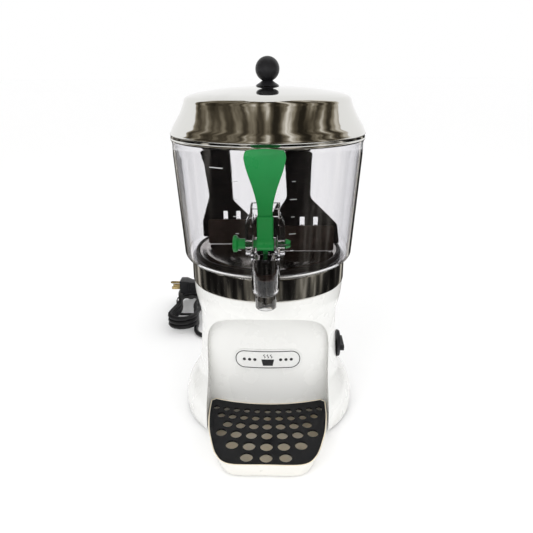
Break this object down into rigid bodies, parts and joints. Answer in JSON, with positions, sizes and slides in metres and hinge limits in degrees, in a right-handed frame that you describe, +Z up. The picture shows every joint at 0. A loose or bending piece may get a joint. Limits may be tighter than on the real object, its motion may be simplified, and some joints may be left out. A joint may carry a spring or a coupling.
{
  "type": "heated sauce dispenser",
  "caption": "Countertop heated cheese sauce dispenser: round clear bowl with steel lid, stirring paddle and piston tap over a white stand with cup bay and drip tray.",
  "frame": {"origin": "middle of the footprint of the machine without its loose cord, on the table", "axes": "+Z up along the machine's height, -Y towards the tap and drip tray, +X towards the temperature dial"},
  "size_m": [0.3198, 0.5241, 0.465],
  "materials": {
    "white_body": "glossy moulded",
    "tray_white": "satin moulded",
    "grille_black": "high gloss",
    "polished_steel": "mirror polished",
    "plain_steel": "plain",
    "pan_steel": "brushed",
    "cast_housing": "as cast",
    "motor_steel": "grey coat",
    "brass": "turned",
    "clear_plastic": "clear moulded polycarbonate",
    "green_plastic": "moulded",
    "black_plastic": "satin",
    "paddle_plastic": "moulded",
    "scraper_plastic": "moulded",
    "dark_rubber": "matt",
    "brown_silicone": "silicone",
    "white_mark": "printed",
    "amber_lamp": "translucent",
    "badge_face": "printed label",
    "cord_pvc": "soft PVC"
  },
  "bodies": {
    "stand": {"body_shell": "white_body", "bottom_plate": "plain_steel", "badge": "badge_face", "steel_collar": "polished_steel", "heating_pan": "pan_steel", "bowl_gasket": "brown_silicone", "heating_element": "plain_steel", "motor_bracket": "plain_steel", "motor_post_1": "plain_steel", "motor_post_2": "plain_steel", "bracket_screw_1": "plain_steel", "bracket_screw_2": "plain_steel", "gearbox": "cast_housing", "motor_can": "motor_steel", "shaft_bush": "brass", "thermostat": "black_plastic", "power_switch": "black_plastic", "heating_lamp": "amber_lamp", "terminal_block": "tray_white", "strain_relief": "cord_pvc", "power_cord": "cord_pvc", "cord_hank": "cord_pvc", "cord_tie": "dark_rubber", "plug_body": "black_plastic", "plug_pin_left": "brass", "plug_pin_right": "brass", "plug_pin_earth": "brass", "plug_tail": "cord_pvc", "foot_1": "dark_rubber", "foot_2": "dark_rubber", "foot_3": "dark_rubber", "foot_4": "dark_rubber", "plate_screw_1": "plain_steel", "plate_screw_2": "plain_steel", "plate_screw_3": "plain_steel", "plate_screw_4": "plain_steel"},
    "bowl": {"bowl": "clear_plastic", "tap_pin": "green_plastic", "pin_washer_left": "plain_steel", "pin_washer_right": "plain_steel", "lever_spring": "plain_steel"},
    "lid": {"lid": "polished_steel", "lid_knob": "black_plastic", "lid_washer": "dark_rubber", "lid_screw": "polished_steel"},
    "lever": {"tap_lever": "green_plastic"},
    "piston": {"tap_piston": "black_plastic", "piston_seal": "brown_silicone"},
    "agitator": {"drive_shaft": "plain_steel", "paddle": "paddle_plastic", "scraper_left": "scraper_plastic", "scraper_right": "scraper_plastic", "shaft_seal": "dark_rubber"},
    "dial": {"thermostat_dial": "black_plastic", "dial_pointer": "white_mark"},
    "rocker": {"power_rocker": "black_plastic"},
    "tray": {"drip_tray": "tray_white"},
    "grille": {"drip_grille": "grille_black"}
  },
  "joints": [
    {"name": "bowl_lift", "type": "slide", "parent": "stand", "child": "bowl", "axis": [0, 0, 1], "range_m": [0, 0.16]},
    {"name": "lid_lift", "type": "slide", "parent": "bowl", "child": "lid", "axis": [0, 0, 1], "range_m": [0, 0.15]},
    {"name": "tap_lever_hinge", "type": "hinge", "parent": "bowl", "child": "lever", "pos_m": [0, -0.10625, 0.279], "axis": [1, 0, 0], "range_deg": [0, 40], "stiffness_Nm_per_rad": 0.12, "springref_deg": -28.65},
    {"name": "piston_slide", "type": "slide", "parent": "bowl", "child": "piston", "axis": [0, 0, 1], "range_m": [0, 0.0098]},
    {"name": "agitator_spin", "type": "hinge", "parent": "stand", "child": "agitator", "pos_m": [0, 0.02825, 0.24], "axis": [0, 0, 1], "continuous": true},
    {"name": "dial_turn", "type": "hinge", "parent": "stand", "child": "dial", "pos_m": [0.095, 0.02825, 0.088], "axis": [1, 0, 0], "range_deg": [0, 270]},
    {"name": "rocker_tilt", "type": "hinge", "parent": "stand", "child": "rocker", "pos_m": [-0.014, 0.12375, 0.112], "axis": [1, 0, 0], "range_deg": [0, 18]},
    {"name": "tray_slide", "type": "slide", "parent": "stand", "child": "tray", "axis": [0, -1, 0], "range_m": [0, 0.13]},
    {"name": "grille_lift", "type": "slide", "parent": "tray", "child": "grille", "axis": [0, 0, 1], "range_m": [0, 0.1]}
  ],
  "couplings": [
    {"joint": "piston_slide", "follows": "tap_lever_hinge", "m_per_rad": 0.01404}
  ]
}
